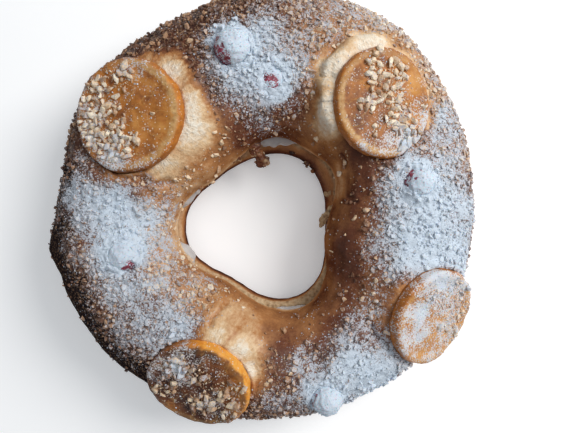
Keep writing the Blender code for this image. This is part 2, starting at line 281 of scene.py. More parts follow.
class Outline:
    """The inner and outer edge of a ring-shaped solid in plan, round the ring."""

    def __init__(self, node, step=5.0):
        directions, distances = directions_of(node_points(node))
        self.centres = np.arange(-180.0 + step / 2, 180.0, step)
        sector = ((directions + 180.0) // step).astype(int) % len(self.centres)
        self.inner = np.array([distances[sector == i].min() for i in range(len(self.centres))])
        self.outer = np.array([distances[sector == i].max() for i in range(len(self.centres))])

    def edges(self, directions):
        inner = np.interp(directions, self.centres, self.inner, period=360.0)
        outer = np.interp(directions, self.centres, self.outer, period=360.0)
        return inner, outer

    def across(self, points):
        directions, distances = directions_of(points)
        inner, outer = self.edges(directions)
        return directions, (distances - inner) / (outer - inner)

    def spot(self, direction, across):
        """The place in plan at a direction and a share across."""
        inner, outer = self.edges(direction)
        distance = between(inner, outer, across)
        return distance * math.cos(math.radians(direction)), distance * math.sin(math.radians(direction))


class Disc:
    """An orange slice's middle, own axes and outline, measured on its solid."""

    def __init__(self, node):
        points = node_points(node)
        self.middle = points.mean(0)
        axes = np.linalg.svd(points - self.middle, full_matrices=False)[2]
        self.up = axes[2] * np.sign(axes[2][2])
        self.side = np.cross((0.0, 1.0, 0.0), self.up)
        self.side /= np.linalg.norm(self.side)
        self.fore = np.cross(self.up, self.side)
        directions, distances = self.plan(points)
        self.centres = np.arange(-172.5, 180.0, 15.0)
        sector = ((directions + 180.0) // 15.0).astype(int) % len(self.centres)
        self.reach = np.array([distances[sector == i].max() for i in range(len(self.centres))])

    def plan(self, points):
        away = points - self.middle
        return np.degrees(np.arctan2(away @ self.fore, away @ self.side)), np.hypot(
            away @ self.side, away @ self.fore)

    def edge_in_plan(self, points):
        """How far the slice's edge is from its middle, in plan, in the direction of each point."""
        x, y = (points - self.middle)[:, :2].T
        length = np.maximum(np.hypot(x, y), 1e-9)
        ahead = np.stack([x / length, y / length, np.zeros(len(x))], 1)
        own = np.degrees(np.arctan2(ahead @ self.fore, ahead @ self.side))
        foreshortened = np.hypot(ahead @ self.side, ahead @ self.fore)
        return np.interp(own, self.centres, self.reach, period=360.0) * foreshortened

    def read(self, points):
        """For points: direction in the slice, share of the way to its edge, and height over its middle."""
        directions, distances = self.plan(points)
        return directions, distances / np.interp(directions, self.centres, self.reach, period=360.0), (
            points - self.middle) @ self.up


def store(mesh, name, values):
    """Keeps a value for each point of a mesh under a name that materials read."""
    layer = mesh.attributes.get(name) or mesh.attributes.new(name, "FLOAT", "POINT")
    layer.data.foreach_set("value", np.asarray(values, np.float32))


def relax(mesh, passes, shrink=0.55, swell=-0.57):
    """Smooths a mesh without shrinking it."""
    ends = np.empty(len(mesh.edges) * 2, int)
    mesh.edges.foreach_get("vertices", ends)
    a, b = ends.reshape(-1, 2).T
    count = len(mesh.vertices)
    neighbours = np.bincount(a, minlength=count) + np.bincount(b, minlength=count)
    points = mesh_points(mesh)
    for step in range(2 * passes):
        total = np.stack([np.bincount(a, points[b, k], count) + np.bincount(b, points[a, k], count)
                          for k in range(3)], 1)
        points += (total / neighbours[:, None] - points) * (shrink if step % 2 == 0 else swell)
    place_points(mesh, points)


def finished_mesh(piece):
    """Turns a piece with its modifiers into a plain mesh."""
    graph = bpy.context.evaluated_depsgraph_get()
    mesh = bpy.data.meshes.new_from_object(piece.evaluated_get(graph), preserve_all_data_layers=True,
                                           depsgraph=graph)
    piece.modifiers.clear()
    old = piece.data
    piece.data = mesh
    mesh.name = piece.name
    bpy.data.meshes.remove(old)
    return mesh


def show(piece):
    """Puts a piece in the scene."""
    bpy.context.scene.collection.objects.link(piece)
    return piece


def fine_copy(node, name, size, passes):
    """A fine copy of one of the model's solids, with even faces and its facets smoothed away."""
    mesh = frame["nodes"][node].data.copy()
    whole = bmesh.new()
    whole.from_mesh(mesh)
    bmesh.ops.remove_doubles(whole, verts=whole.verts, dist=1e-6)
    whole.to_mesh(mesh)
    whole.free()
    mesh.materials.clear()
    piece = show(bpy.data.objects.new(name, mesh))
    even = piece.modifiers.new("Even faces", "REMESH")
    even.mode = "VOXEL"
    even.voxel_size = size
    even.use_smooth_shade = True
    relax(finished_mesh(piece), passes)
    return piece


def push_out(mesh, amounts):
    """Moves each point of a mesh along its normal."""
    place_points(mesh, mesh_points(mesh) + mesh_normals(mesh) * np.asarray(amounts)[:, None])


def dress(piece, slot, *nodes):
    """Fixes a piece to the ring's body and hides the model's solids that it stands in for."""
    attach(piece, "root")
    if nodes:
        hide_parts(*nodes)
    return piece


# ---------------------------------------------------------------- materials

def tint(red, green, blue):
    """A colour from its 0 to 255 screen values."""
    return tuple(((c / 255 + 0.055) / 1.055) ** 2.4 if c > 10 else c / 3294 for c in (red, green, blue)) + (1.0,)


class Finish:
    """A material that is put together node by node."""

    def __init__(self, name):
        self.material = bpy.data.materials.new(name)
        self.material.use_nodes = True
        self.nodes = self.material.node_tree.nodes
        self.links = self.material.node_tree.links
        self.shader = self.nodes["Principled BSDF"]
        self.place = self.nodes.new("ShaderNodeTexCoord").outputs["Object"]

    def feed(self, socket, value):
        """Links an output to a socket, or sets it."""
        if isinstance(value, bpy.types.NodeSocket):
            self.links.new(value, socket)
        else:
            socket.default_value = value

    def set(self, **sockets):
        """Sets the shader's sockets: words joined by an underscore stand for the socket's name."""
        for name, value in sockets.items():
            self.feed(self.shader.inputs[name.replace("_", " ")], value)

    def stored(self, name, output="Fac"):
        """A value kept on the mesh."""
        node = self.nodes.new("ShaderNodeAttribute")
        node.attribute_name = name
        return node.outputs[output]

    def math(self, kind, *values):
        node = self.nodes.new("ShaderNodeMath")
        node.operation = kind
        for socket, value in zip(node.inputs, values):
            self.feed(socket, value)
        return node.outputs[0]

    def step(self, value, low, high, start=0.0, end=1.0):
        """Rises smoothly from start, where value is low, to end, where it is high."""
        node = self.nodes.new("ShaderNodeMapRange")
        node.interpolation_type = "SMOOTHSTEP"
        for name, given in (("Value", value), ("From Min", low), ("From Max", high), ("To Min", start), ("To Max", end)):
            self.feed(node.inputs[name], given)
        return node.outputs["Result"]

    def stretched(self, place, scale):
        """Places scaled differently along each axis."""
        node = self.nodes.new("ShaderNodeMapping")
        self.feed(node.inputs["Vector"], place)
        node.inputs["Scale"].default_value = scale
        return node.outputs["Vector"]

    def clouds(self, size, detail=3.0, roughness=0.55, place=None, distortion=0.0):
        """Cloudy values about 0.5 that change over about size metres."""
        node = self.nodes.new("ShaderNodeTexNoise")
        self.feed(node.inputs["Vector"], place or self.place)
        node.inputs["Scale"].default_value = 1.0 / size
        node.inputs["Detail"].default_value = detail
        node.inputs["Roughness"].default_value = roughness
        node.inputs["Distortion"].default_value = distortion
        return node.outputs["Fac"]

    def cells(self, size, feature="F1", randomness=1.0):
        """Distances to scattered points about size metres apart."""
        node = self.nodes.new("ShaderNodeTexVoronoi")
        node.feature = feature
        self.feed(node.inputs["Vector"], self.place)
        node.inputs["Scale"].default_value = 1.0 / size
        node.inputs["Randomness"].default_value = randomness
        return node.outputs["Distance"]

    def ramp(self, value, *stops):
        """Colours at positions along a value."""
        node = self.nodes.new("ShaderNodeValToRGB")
        line = node.color_ramp
        for _ in stops[2:]:
            line.elements.new(0.5)
        for element, (position, colour) in zip(line.elements, stops):
            element.position = position
            element.color = colour
        self.feed(node.inputs["Fac"], value)
        return node.outputs["Color"]

    def mix(self, share, first, second, kind="MIX"):
        """First where share is 0, second where it is 1."""
        node = self.nodes.new("ShaderNodeMix")
        node.data_type = "RGBA"
        node.blend_type = kind
        self.feed(node.inputs["Factor"], share)
        self.feed(node.inputs[6], first)
        self.feed(node.inputs[7], second)
        return node.outputs[2]

    def blend(self, share, first, second):
        """A number: first where share is 0, second where it is 1."""
        node = self.nodes.new("ShaderNodeMix")
        self.feed(node.inputs["Factor"], share)
        self.feed(node.inputs[2], first)
        self.feed(node.inputs[3], second)
        return node.outputs[0]

    def relief(self, *layers):
        """Bumps on the surface, as (value, height in metres, strength)."""
        normal = None
        for value, height, strength in layers:
            node = self.nodes.new("ShaderNodeBump")
            self.feed(node.inputs["Height"], value)
            node.inputs["Distance"].default_value = height
            self.feed(node.inputs["Strength"], strength)
            if normal is not None:
                self.feed(node.inputs["Normal"], normal)
            normal = node.outputs["Normal"]
        self.feed(self.shader.inputs["Normal"], normal)

    def facing_up(self):
        """How far the surface faces up, from -1 to 1."""
        normal = self.nodes.new("ShaderNodeNewGeometry").outputs["Normal"]
        node = self.nodes.new("ShaderNodeSeparateXYZ")
        self.feed(node.inputs[0], normal)
        return node.outputs["Z"]

    def sugar_cover(self, amount, patchy=0.85):
        """Where icing sugar lies, from an amount: specks where it is small, a closed cover where it is large."""
        fine = self.clouds(0.00100, 2.5, 0.62)
        patches = self.clouds(0.0042, 3.0, 0.60)
        threshold = self.math("ADD", self.math("MULTIPLY", fine, 1.15), self.math("MULTIPLY", patches, patchy))
        gap = self.math("SUBTRACT", amount, self.math("SUBTRACT", threshold, 0.075 + patchy / 2))
        specks = self.step(gap, -0.04, 0.11)
        grains = self.nodes.new("ShaderNodeTexVoronoi")
        self.feed(grains.inputs["Vector"], self.place)
        grains.inputs["Scale"].default_value = 1.0 / 0.0015
        chance = self.nodes.new("ShaderNodeSeparateColor")
        self.feed(chance.inputs[0], grains.outputs["Color"])
        falls = self.math("LESS_THAN", chance.outputs[0], self.math("MULTIPLY_ADD", amount, 0.62, -0.03))
        falls = self.math("MULTIPLY", falls, self.step(grains.outputs["Distance"], 0.22, 0.36, 0.9, 0.0))
        specks = self.math("MAXIMUM", specks, falls)
        haze = self.math("MULTIPLY", self.step(gap, -0.50, 0.40), self.step(amount, 0.25, 1.00, 0.0, 0.50))
        return self.math("MAXIMUM", specks, haze)


# Icing sugar is white with a blue tint that is painted cool skylight.
ICING_SUGAR_COOL_LIT = tint(208, 220, 232)
ICING_SUGAR_THIN = tint(184, 182, 188)
PALE_DOUGH = tint(252, 242, 224)
LIGHT_CRUST = tint(230, 196, 154)
ORANGE_CRUST = tint(182, 127, 80)
CHESTNUT_CRUST = tint(108, 63, 44)
# The darkest crust is a near-neutral dark grey, partly painted shade for the shaded left flank.
DARK_CRUST_AND_SHADE = tint(37, 29, 31)


def baked_crust():
    """Brioche crust from pale to almost black, torn fibres on the bare dough, grit where almonds lie,
    sugar dust on it and open crumb where it is cut."""
    finish = Finish("Baked brioche crust")
    bake = finish.math("ADD", finish.stored("bake"),
                       finish.math("MULTIPLY", finish.math("SUBTRACT", finish.clouds(0.0085, 4.0), 0.5), 0.38))
    bake = finish.math("ADD", bake, finish.math(
        "MULTIPLY", finish.math("SUBTRACT", finish.clouds(0.0014, 3.0, 0.6), 0.5), 0.22))
    along = finish.stored("fibre", "Vector")
    streaks = finish.clouds(1.0, 3.0, 0.6, finish.stretched(along, (230.0, 60.0, 1.0)), 1.0)
    pale = finish.math("MULTIPLY_ADD", finish.math("SUBTRACT", finish.clouds(0.0019, 4.0, 0.65), 0.5), 0.40,
                       finish.stored("pale"))
    pale = finish.step(finish.math("MULTIPLY_ADD", finish.math("SUBTRACT", streaks, 0.5), 0.40, pale), 0.0, 0.95)
    bake = finish.blend(pale, bake, finish.math("MULTIPLY", bake, 0.10))
    fibres = finish.clouds(1.0, 4.0, 0.65, finish.stretched(along, (430.0, 190.0, 1.0)), 1.4)
    tufts = finish.clouds(0.0030, 4.0, 0.65)
    torn = finish.math("ADD", finish.math("MULTIPLY", fibres, 0.4), finish.math("MULTIPLY", tufts, 0.8))
    torn = finish.math("MULTIPLY", finish.math("SUBTRACT", torn, 0.6), pale)
    bake = finish.math("SUBTRACT", bake, finish.math("MULTIPLY", torn, 0.70))
    colour = finish.ramp(bake, (0.0, PALE_DOUGH), (0.22, LIGHT_CRUST), (0.45, ORANGE_CRUST),
                         (0.72, CHESTNUT_CRUST), (1.0, DARK_CRUST_AND_SHADE))
    grit = finish.math("MULTIPLY", finish.stored("grit"), finish.step(finish.clouds(0.0015, 2.5, 0.6), 0.50, 0.62))
    colour = finish.mix(finish.math("MULTIPLY", grit, 0.55), colour, tint(190, 152, 118))
    crumb = finish.stored("crumb")
    pores = finish.cells(0.0026)
    crumb_colour = finish.ramp(finish.math("MULTIPLY_ADD", pores, 0.5, finish.math("MULTIPLY", finish.clouds(0.003, 4.0, 0.7), 0.6)),
                               (0.20, tint(134, 100, 74)), (0.45, tint(188, 156, 120)), (0.8, tint(218, 192, 156)))
    colour = finish.mix(crumb, colour, crumb_colour)
    amount = finish.stored("sugar")
    sugar = finish.sugar_cover(amount)
    colour = finish.mix(sugar, colour, finish.mix(finish.step(amount, 0.35, 0.85), ICING_SUGAR_THIN, ICING_SUGAR_COOL_LIT))
    crust_gloss = finish.step(bake, 0.15, 0.75, 0.66, 0.44)
    gloss = finish.math("MULTIPLY", finish.step(finish.facing_up(), 0.40, 0.80, 0.0, 0.55),
                        finish.step(bake, 0.86, 1.04, 1.0, 0.0))
    finish.set(Base_Color=colour,
               Roughness=finish.blend(finish.math("MAXIMUM", sugar, crumb), crust_gloss, 0.92),
               Specular_IOR_Level=0.0, Coat_Roughness=0.34,
               Coat_Weight=finish.math("MULTIPLY", gloss, finish.math("SUBTRACT", 1.0, finish.math(
                   "MAXIMUM", finish.math("MAXIMUM", sugar, crumb), pale))))
    finish.relief((finish.clouds(0.0042, 3.0), 0.0009, 0.35), (torn, 0.0030, 0.85), (grit, 0.0006, 0.7),
                  (finish.clouds(0.00055, 3.0, 0.65), 0.00035, finish.blend(sugar, 0.22, 0.75)),
                  (pores, 0.0012, crumb))
    return finish.material


def whipped_cream():
    """Soft whipped cream, painted a light grey: the cream itself is white, and the grey is painted shade for the shade
    between the two halves.
    """
    finish = Finish("Whipped cream")
    colour = finish.ramp(finish.clouds(0.006), (0.3, tint(182, 178, 177)), (0.7, tint(200, 197, 196)))
    finish.set(Base_Color=colour, Roughness=0.55, Subsurface_Weight=0.35, Subsurface_Radius=(0.6, 0.5, 0.4),
               Subsurface_Scale=0.003)
    finish.relief((finish.clouds(0.0035, 3.0, 0.5), 0.0009, 0.35), (finish.clouds(0.0007, 2.0), 0.0002, 0.25))
    return finish.material


def chopped_almond():
    """Chips of toasted almond, with sugar on top of them where it was dusted."""
    finish = Finish("Chopped almond")
    shade = finish.math("MULTIPLY_ADD", finish.stored("shade"), 0.50, finish.math(
        "MULTIPLY_ADD", finish.clouds(0.0014, 3.0, 0.6), 0.5, 0.18))
    shade = finish.math("MULTIPLY_ADD", finish.stored("toast"), -0.62, shade)
    colour = finish.ramp(shade, (0.0, tint(84, 54, 42)), (0.2, tint(130, 92, 68)), (0.4, tint(182, 142, 108)),
                         (0.6, tint(229, 203, 170)), (0.8, tint(244, 227, 201)), (1.0, tint(250, 238, 216)))
    amount = finish.math("MULTIPLY_ADD", finish.facing_up(), 0.20, finish.math("MULTIPLY", finish.stored("sugar"), 0.74))
    sugar = finish.sugar_cover(amount)
    thick = finish.step(finish.stored("sugar"), 0.35, 0.85)
    colour = finish.mix(sugar, colour, finish.mix(thick, tint(190, 182, 182), ICING_SUGAR_COOL_LIT))
    finish.set(Base_Color=colour, Roughness=finish.blend(sugar, 0.50, 0.92), Subsurface_Weight=0.12,
               Subsurface_Radius=(1.0, 0.6, 0.35), Subsurface_Scale=0.0015)
    finish.relief((finish.clouds(0.0009, 3.0, 0.6), 0.0004, 0.7))
    return finish.material


def icing_sugar():
    """Small clumps of icing sugar."""
    finish = Finish("Icing sugar clumps")
    # Bluish white clumps: the blue tint is painted cool skylight.
    finish.set(Base_Color=finish.ramp(finish.clouds(0.0012), (0.3, tint(196, 206, 220)), (0.7, tint(222, 229, 238))),
               Roughness=0.95, Subsurface_Weight=0.1, Subsurface_Radius=(0.6, 0.7, 0.8), Subsurface_Scale=0.001)
    finish.relief((finish.clouds(0.0005, 3.0, 0.7), 0.0003, 0.8))
    return finish.material


def candied_orange():
    """A syrup-soaked orange slice: rind, pith and segments that the light goes into."""
    finish = Finish("Candied orange")
    radial, turn = finish.stored("radial"), finish.stored("turn")
    waver = finish.math("MULTIPLY", finish.math("SUBTRACT", finish.clouds(0.006, 2.0), 0.5), 1.2)
    segment = finish.math("PINGPONG", finish.math("ADD", finish.math("MULTIPLY", turn, 10.0), waver), 0.5)
    membrane = finish.math("MULTIPLY", finish.step(segment, 0.0, 0.09, 1.0, 0.0),
                           finish.step(radial, 0.10, 0.20))
    shade = finish.math("MULTIPLY_ADD", finish.math("SUBTRACT", finish.clouds(0.0085, 4.0, 0.66), 0.5), 1.0,
                        finish.stored("glow"))
    flesh = finish.ramp(shade, (0.0, tint(68, 42, 36)), (0.25, tint(126, 76, 46)), (0.5, tint(178, 113, 53)),
                        (0.75, tint(206, 146, 78)), (1.0, tint(216, 170, 120)))
    flesh = finish.mix(finish.math("MULTIPLY", membrane, 0.30), flesh, tint(212, 162, 98))
    ring = finish.math("ADD", radial, finish.math("MULTIPLY", finish.math(
        "SUBTRACT", finish.clouds(0.005, 3.0), 0.5), 0.14))
    pith = finish.math("MULTIPLY", finish.step(ring, 0.80, 0.88), finish.stored("pith"))
    colour = finish.mix(pith, flesh, finish.ramp(finish.clouds(0.0025, 3.0, 0.6), (0.35, tint(186, 138, 84)),
                                                 (0.7, tint(218, 180, 126))))
    # The rind's brightness is partly its own colour and partly painted light, brighter on the side that faces the
    # window.
    peel_and_light = finish.math("MULTIPLY_ADD", finish.math("SUBTRACT", finish.clouds(0.003), 0.5), 0.7, finish.stored("rind"))
    colour = finish.mix(finish.step(ring, 0.92, 0.99), colour,
                        finish.ramp(peel_and_light, (0.0, tint(104, 58, 36)), (0.45, tint(182, 112, 48)),
                                    (0.8, tint(224, 144, 52)), (1.0, tint(238, 170, 78))))
    amount = finish.stored("sugar")
    sugar = finish.sugar_cover(amount, 0.45)
    colour = finish.mix(sugar, colour, finish.ramp(amount, (0.28, tint(230, 208, 178)), (0.42, tint(212, 203, 198)),
                                                  (0.95, ICING_SUGAR_COOL_LIT)))
    finish.set(Base_Color=colour, Roughness=finish.blend(sugar, 0.46, 0.9), Subsurface_Weight=0.10,
               Subsurface_Radius=(1.0, 0.42, 0.10), Subsurface_Scale=0.003, Specular_IOR_Level=0.20)
    finish.relief((finish.clouds(0.0040, 3.0), 0.0006, 0.14), (membrane, 0.0005, 0.30),
                  (finish.clouds(0.0009, 3.0, 0.65), 0.00035, finish.blend(sugar, 0.35, 0.8)))
    return finish.material


def candied_cherry():
    """A glossy dark cherry under a cap of sugar."""
    finish = Finish("Candied cherry")
    colour = finish.ramp(finish.clouds(0.003, 3.0), (0.3, tint(104, 26, 42)), (0.7, tint(168, 62, 84)))
    sugar = finish.sugar_cover(finish.stored("sugar"))
    colour = finish.mix(sugar, colour, ICING_SUGAR_COOL_LIT)
    finish.set(Base_Color=colour, Roughness=finish.blend(sugar, 0.22, 0.92), Subsurface_Weight=0.2,
               Subsurface_Radius=(1.0, 0.2, 0.15), Subsurface_Scale=0.003)
    finish.relief((finish.clouds(0.0030, 2.0), 0.0008, 0.4),
                  (finish.clouds(0.0006, 3.0, 0.65), 0.0003, finish.blend(sugar, 0.1, 0.8)))
    return finish.material


def pale_table():
    """The plain surface under the ring."""
    finish = Finish("Pale table")
    finish.set(Base_Color=finish.ramp(finish.clouds(0.4), (0.3, tint(247, 247, 247)), (0.7, tint(250, 250, 250))),
               Roughness=0.8, Emission_Color=(0.95, 0.975, 1.0, 1.0), Emission_Strength=0.24)
    return finish.material


# ---------------------------------------------------------------- bread and cream

def bread_tables(directions, across, inner, crest, outer, outer_from=0.62, outer_to=0.96):
    """Blends three lists round the ring by how far across a place is."""
    a, b, c = (round_ring(directions, listed) for listed in (inner, crest, outer))
    value = between(a, b, ease(across, 0.14, 0.40))
    return between(value, c, ease(across, outer_from, outer_to))


def bare_dough(points, discs):
    """How bare and pale the dough is beside the orange slices, from 0 to 1, and places along and
    away from the nearest slice's edge, which its torn fibres follow."""
    pale = np.zeros(len(points))
    fibre = np.zeros((len(points), 3))
    ragged = grain(points, 0.009, 3) * 0.0042 + grain(points, 0.0034, 4) * 0.0014
    for name, direction, spread, reach, amount in BARE_DOUGH:
        directions, distances = directions_of(points, discs[name].middle)
        beyond = distances - discs[name].edge_in_plan(points)
        side = np.exp(-(turned(directions - direction) / spread) ** 2)
        here = amount * side * (1.0 - ease(beyond + ragged, 0.15 * reach, 1.75 * reach))
        stronger = here > pale
        fibre[stronger] = np.stack([np.radians(directions) * 0.045, beyond, beyond * 0.0], 1)[stronger]
        pale = np.maximum(pale, here)
    return pale, fibre


def rolled_dough(points, discs):
    """How far the dough is pushed up into rolls, or in along creases, beside the slices."""
    rise = np.zeros(len(points))
    for name, direction, spread, offset, width, height in DOUGH_ROLLS:
        directions, distances = directions_of(points, discs[name].middle)
        beyond = distances - discs[name].edge_in_plan(points) + 0.004 * grain(points, 0.013, 17)
        side = np.exp(-(turned(directions - direction) / spread) ** 4)
        rise += height * side * np.exp(-((beyond - offset) / width) ** 2)
    return rise


def banked_dough(points, discs):
    """How far the dough rises against the slices."""
    lift = np.zeros(len(points))
    for name, direction, spread, share, reach in BANKED_DOUGH:
        disc = discs[name]
        directions, distances = directions_of(points, disc.middle)
        edge = disc.edge_in_plan(points)
        beyond = distances - edge
        ahead = np.minimum(distances, edge) / np.maximum(distances, 1e-9)
        plane = disc.middle[2] - ((points[:, :2] - disc.middle[:2]) @ disc.up[:2]) * ahead / disc.up[2]
        wanted = plane - 0.0008 - 0.0032 * ease(-beyond, 0.0, 0.003)
        near = np.exp(-(turned(directions - direction) / spread) ** 4) * (1.0 - ease(beyond, 0.001, reach))
        near *= 1.0 - ease(-beyond, 0.004, 0.012)
        lift = np.maximum(lift, share * near * np.clip(wanted - points[:, 2], 0.0, 0.009))
    return lift


def dusted_dough(points):
    """Icing sugar that lies in streaks on the bare dough, from 0 to 1."""
    warped = points + np.stack([grain(points, 0.007, 34), grain(points, 0.007, 35), 0.0 * points[:, 2]], 1) * 0.006
    dust = np.zeros(len(points))
    for x1, y1, x2, y2, width, amount in DUSTED_DOUGH:
        along = np.clip(((warped[:, 0] - x1) * (x2 - x1) + (warped[:, 1] - y1) * (y2 - y1))
                        / ((x2 - x1) ** 2 + (y2 - y1) ** 2), 0.0, 1.0)
        away = np.hypot(warped[:, 0] - between(x1, x2, along), warped[:, 1] - between(y1, y2, along))
        dust = np.maximum(dust, amount * np.exp(-(away / width) ** 2))
    return dust


def creased(points):
    """How deep the top half's crust is creased."""
    warped = points + np.stack([grain(points, 0.008, 19), grain(points, 0.008, 20), 0.0 * points[:, 2]], 1) * 0.004
    depth = np.zeros(len(points))
    for x1, y1, x2, y2, width, deepest in CREASES:
        length = math.hypot(x2 - x1, y2 - y1)
        along = np.clip(((warped[:, 0] - x1) * (x2 - x1) + (warped[:, 1] - y1) * (y2 - y1)) / length ** 2, 0.0, 1.0)
        away = np.hypot(warped[:, 0] - between(x1, x2, along), warped[:, 1] - between(y1, y2, along))
        depth = np.maximum(depth, deepest * np.exp(-(away / width) ** 2))
    return depth


def fruit_shadow(points, discs):
    """1 under the fruit, where nothing is sprinkled, and 0 elsewhere."""
    under = np.zeros(len(points))
    for disc in discs.values():
        _, shares, heights = disc.read(points)
        under = np.maximum(under, (1.0 - ease(shares, 0.97, 1.02)) * (heights < 0.004))
    for number in range(1, 6):
        low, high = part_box(f"cherry_{number}")
        middle, radius = (low + high) / 2, (high.x - low.x) / 2
        _, distances = directions_of(points, middle)
        under = np.maximum(under, 1.0 - ease(distances, 0.96 * radius, 1.04 * radius))
    return under


def sugar_drifts(points, outline):
    """Icing sugar that lies in drifts, from 0 to 1."""
    warped = points.copy()
    warped[:, 0] += grain(points, 0.016, 5) * 0.012
    warped[:, 1] += grain(points, 0.016, 6) * 0.012
    left = np.ones(len(points))
    for direction, across, reach, amount in SUGAR_DRIFTS:
        x, y = outline.spot(direction, across)
        _, distances = directions_of(warped, (x, y))
        left *= 1.0 - amount * np.exp(-(distances / reach) ** 2)
    return 1.0 - left


def sugar_collars(points):
    """Where drifted sugar lies against the cherries, from 0 to 1."""
    collar = np.zeros(len(points))
    for number in range(1, 6):
        low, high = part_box(f"cherry_{number}")
        middle, radius = (low + high) / 2, (high.x - low.x) / 2
        directions, distances = directions_of(points, middle)
        covered = 1.0 - 0.6 * np.exp(-(turned(directions - CHERRY_HEAP[number][2]) / 40.0) ** 2)
        distances = distances * (1.0 + 0.25 * grain(points, 0.006, 18))
        here = covered * (1.0 - ease(distances, 0.95 * radius, 1.9 * radius))
        here *= 1.0 - ease(np.abs(points[:, 2] - middle.z), 1.0 * radius, 1.6 * radius)
        collar = np.maximum(collar, here)
    return collar


def top_bread(outline, discs, material):
    """The browned top half, with its uneven crust."""
    piece = fine_copy("bread_top", "brioche_top", TOP_GRAIN, 9)
    mesh = piece.data
    points, normals = mesh_points(mesh), mesh_normals(mesh)
    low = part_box("bread_top")[0].z
    directions, across = outline.across(points)
    cut = ease(-normals[:, 2], 0.80, 0.95) * (1.0 - ease(points[:, 2], low + 0.0015, low + 0.003))
    pale, fibre = bare_dough(points, discs)
    drifts = sugar_drifts(points, outline)
    facing = ease(normals[:, 2], -0.15, 0.55)
    collar = sugar_collars(points)
    dust = bread_tables(directions, across, INNER_DUST, CREST_DUST, OUTER_DUST)
    sugar = (dust + drifts * (1.05 - dust)) * ease(normals[:, 2], -0.35, 0.40) + 0.10 * grain(points, 0.014, 7)
    sugar = np.clip(sugar * (1.0 - 0.92 * pale), 0.0, 1.0) * (1.0 - cut)
    sugar = np.maximum(np.maximum(sugar, 0.85 * ease(collar, 0.1, 0.8)), dusted_dough(points) * facing)
    # The crust's bake, with the painted shading of the slope tables and of the lines below.
    bake = bread_tables(directions, across, INNER_BAKE_AND_SHADING, CREST_BAKE, OUTER_BAKE_AND_SHADING) + 0.16 * grain(points, 0.018, 8)
    # Lighter near the top half's lower edge: partly paler crust, partly painted light where that edge lies in shade.
    bake -= 0.24 * (1.0 - ease(points[:, 2], low + 0.001, low + 0.010)) * (1.0 - cut)
    bake -= 0.20 * np.exp(-((directions - 17.0) / 15.0) ** 4) * (1.0 - ease(across, 0.03, 0.08)) * (1.0 - cut)
    # Lighter along the inner edge on the right: painted light, for light that bounces up from the hole.
    bake -= 0.12 * np.exp(-(turned(directions + 18.0) / 52.0) ** 4) * (1.0 - ease(across, 0.03, 0.13)) * (1.0 - cut)
    bake = np.clip(bake - 0.12 * pale, 0.0, 1.25)
    open_crust = (1.0 - ease(pale, 0.16, 0.42)) * (1.0 - fruit_shadow(points, discs))
    almonds = bread_tables(directions, across, INNER_ALMONDS, CREST_ALMONDS, OUTER_ALMONDS, 0.66, 0.88)
    almonds *= ease(across, -0.02, 0.10) * ease(normals[:, 2], -0.45, -0.05) * open_crust
    almonds *= between(1.0, 0.80, ease(drifts, 0.35, 0.80)) * (0.95 + 0.9 * grain(points, 0.011, 10))
    swell = 0.0008 * grain(points, 0.020, 1) + 0.0005 * grain(points, 0.0065, 2)
    swell += 0.0011 * drifts * (0.5 + 1.5 * grain(points, 0.0034, 9)) * facing
    swell += (rolled_dough(points, discs) - creased(points)) * facing
    swell *= 1.0 - cut
    push_out(mesh, swell)
    bank = banked_dough(points, discs) * ease(normals[:, 2], 0.05, 0.45)
    place_points(mesh, mesh_points(mesh) + np.outer(bank, (0.0, 0.0, 1.0)))
    # The almonds are toasted darker where the crust is darker, so they take on its painted shading too.
    toast = np.clip(1.25 * bake - 0.30, 0.0, 0.9)
    # Darker along the creases: painted shade.
    bake = np.clip(bake + 0.25 * creased(points) / 0.002, 0.0, 1.25)
    for name, values in (("bake", bake), ("sugar", sugar), ("crumb", cut), ("almonds", np.clip(almonds, 0.0, 1.0)),
                         ("grit", np.clip(almonds + 0.34 * open_crust * ease(across, 0.50, 0.85), 0.0, 1.0)),
                         ("toast", toast), ("pale", pale), ("drift", np.clip(drifts * facing * open_crust + 0.6 * collar, 0.0, 1.0))):
        store(mesh, name, values)
    mesh.attributes.new("fibre", "FLOAT_VECTOR", "POINT").data.foreach_set("vector", fibre.ravel())
    mesh.materials.append(material)
    return dress(piece, "crust", "bread_top")


def bottom_bread(material):
    """The bottom half: a browned wall, a cut top with open crumb and a flat underside."""
    piece = fine_copy("bread_base", "brioche_bottom", BASE_GRAIN, 6)
    mesh = piece.data
    points, normals = mesh_points(mesh), mesh_normals(mesh)
    low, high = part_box("bread_base")
    directions, distances = directions_of(points)
    inner, outer = Outline("bread_base").edges(directions)
    shown = between(1.0, round_ring(directions, BOTTOM_CRUMB), 1.0 - ease(distances - inner, 0.004, 0.009))
    steepest = between(0.80, 0.25, round_ring(directions, BOTTOM_CRUMB) * (distances < inner + 0.010))
    cut = shown * ease(normals[:, 2], steepest, steepest + 0.15) * ease(points[:, 2], high.z - 0.004, high.z - 0.002)
    under = ease(-normals[:, 2], 0.5, 0.95)
    height = (points[:, 2] - low.z) / (high.z - low.z)
    bake = 0.86 - 0.42 * ease(height, 0.55, 1.0) + 0.18 * grain(points, 0.016, 11)
    bake = between(bake, 0.70 + 0.25 * grain(points, 0.012, 12), under)
    push_out(mesh, (0.0006 * grain(points, 0.016, 13) + 0.0003 * grain(points, 0.005, 14)) * (1.0 - under) * (1.0 - cut))
    store(mesh, "bake", np.clip(bake, 0.0, 1.0))
    for name in ("sugar", "almonds", "pale"):
        store(mesh, name, np.zeros(len(points)))
    store(mesh, "crumb", cut)
    mesh.materials.append(material)
    return dress(piece, "crust", "bread_base")


